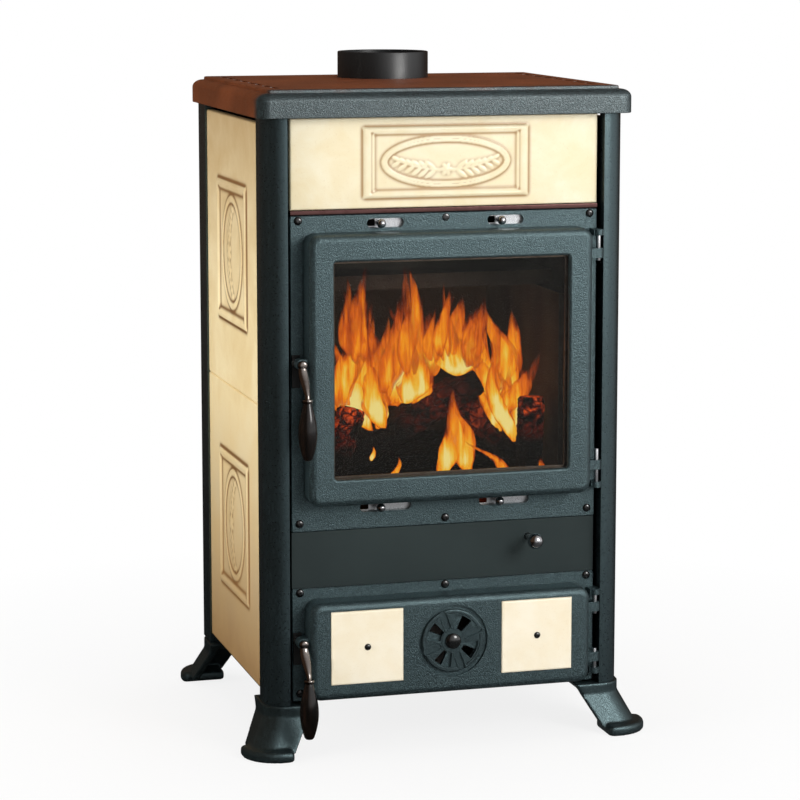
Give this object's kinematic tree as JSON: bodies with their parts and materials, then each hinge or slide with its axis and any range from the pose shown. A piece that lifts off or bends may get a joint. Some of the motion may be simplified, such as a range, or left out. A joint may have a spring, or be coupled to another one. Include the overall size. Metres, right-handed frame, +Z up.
{
  "type": "tiled wood stove",
  "caption": "Free-standing wood stove clad in glazed tiles, with a glass fire door over an ash door, splayed cast feet and a top flue collar.",
  "frame": {"origin": "on the floor, under the middle of the stove's overall box", "axes": "+Z up, -Y out of the front, +X to the right of someone facing the front"},
  "size_m": [0.574, 0.524, 0.932],
  "materials": {
    "cast_paint": "slate blue-grey heat paint with a fine sparkling grain",
    "post_paint": "slate blue-grey heat paint on bent steel plate",
    "sheet_paint": "flat dark green-grey heat paint",
    "black_sheet": "satin black heat paint",
    "ivory_glaze": "ivory gloss glaze",
    "ochre_glaze": "warm ochre-cream gloss glaze",
    "chrome": "polished chrome plate",
    "bright_steel": "bright rolled steel",
    "black_grip": "glossy black moulded grip",
    "firebrick": "matt fired brick",
    "bare_iron": "bare casting skin",
    "rope": "braided heat-proof rope",
    "door_glass": "clear heat-proof glass"
  },
  "bodies": {
    "stove_body": {"foot_front_left": "cast_paint", "foot_front_right": "cast_paint", "foot_rear_left": "cast_paint", "foot_rear_right": "cast_paint", "post_front_left": "post_paint", "post_front_right": "post_paint", "post_rear_left": "post_paint", "post_rear_right": "post_paint", "base_plate": "black_sheet", "top_plate": "cast_paint", "flue_collar": "black_sheet", "side_tile_left_lower": "ochre_glaze", "side_tile_left_upper": "ochre_glaze", "side_tile_right_lower": "ochre_glaze", "side_tile_right_upper": "ochre_glaze", "tile_carrier_left": "black_sheet", "tile_carrier_right": "black_sheet", "back_panel": "black_sheet", "firebox_shell": "black_sheet", "firebrick_left": "firebrick", "firebrick_right": "firebrick", "firebrick_rear": "firebrick", "hearth_plate": "bare_iron", "smoke_baffle": "firebrick", "ash_pan": "bright_steel", "ash_pan_shelf": "black_sheet", "lower_front_frame": "cast_paint", "middle_panel": "sheet_paint", "upper_front_frame": "cast_paint", "ceramic_trim": "bright_steel", "front_ceramic": "ivory_glaze", "fire_hinge_pin_upper": "bright_steel", "fire_hinge_pin_lower": "bright_steel", "ash_hinge_pin_upper": "bright_steel", "ash_hinge_pin_lower": "bright_steel", "fire_catch_plate": "black_sheet", "ash_catch_plate": "black_sheet"},
    "fire_door": {"fire_door": "cast_paint", "door_glass": "door_glass", "glass_retainer": "bright_steel", "fire_door_gasket": "rope"},
    "fire_handle": {"fire_handle_lever": "chrome", "fire_handle_grip": "black_grip"},
    "ash_door": {"ash_door": "cast_paint", "ash_door_tile_left": "ivory_glaze", "ash_door_tile_right": "ivory_glaze", "ash_register_hub": "black_sheet", "ash_door_gasket": "rope"},
    "ash_handle": {"ash_handle_lever": "chrome", "ash_handle_grip": "black_grip"},
    "ash_register": {"ash_register_disc": "cast_paint"},
    "upper_air_slide": {"upper_air_plate": "bright_steel", "upper_air_knob_left": "chrome", "upper_air_knob_right": "chrome"},
    "lower_air_slide": {"lower_air_plate": "bright_steel", "lower_air_knob_left": "chrome", "lower_air_knob_right": "chrome"},
    "grate_shaker": {"shaker_rod": "bright_steel", "shaker_knob": "chrome", "grate": "bare_iron"}
  },
  "joints": [
    {"name": "fire_door_hinge", "type": "hinge", "parent": "stove_body", "child": "fire_door", "pos_m": [0.2115, -0.20796, 0.5235], "axis": [0, 0, 1], "range_deg": [0, 110]},
    {"name": "fire_handle_turn", "type": "hinge", "parent": "fire_door", "child": "fire_handle", "pos_m": [-0.206, -0.222, 0.5335], "axis": [0, 1, 0], "range_deg": [0, 70]},
    {"name": "ash_door_hinge", "type": "hinge", "parent": "stove_body", "child": "ash_door", "pos_m": [0.2115, -0.20796, 0.143], "axis": [0, 0, 1], "range_deg": [0, 110]},
    {"name": "ash_handle_turn", "type": "hinge", "parent": "ash_door", "child": "ash_handle", "pos_m": [-0.206, -0.222, 0.155], "axis": [0, 1, 0], "range_deg": [0, 70]},
    {"name": "ash_register_turn", "type": "hinge", "parent": "ash_door", "child": "ash_register", "pos_m": [0, -0.2275, 0.1485], "axis": [0, -1, 0], "range_deg": [-20, 25]},
    {"name": "upper_air_travel", "type": "slide", "parent": "stove_body", "child": "upper_air_slide", "axis": [1, 0, 0], "range_m": [-0.014, 0.03]},
    {"name": "lower_air_travel", "type": "slide", "parent": "stove_body", "child": "lower_air_slide", "axis": [1, 0, 0], "range_m": [-0.023, 0.041]},
    {"name": "shaker_pull", "type": "slide", "parent": "stove_body", "child": "grate_shaker", "axis": [0, -1, 0], "range_m": [0, 0.025]}
  ]
}
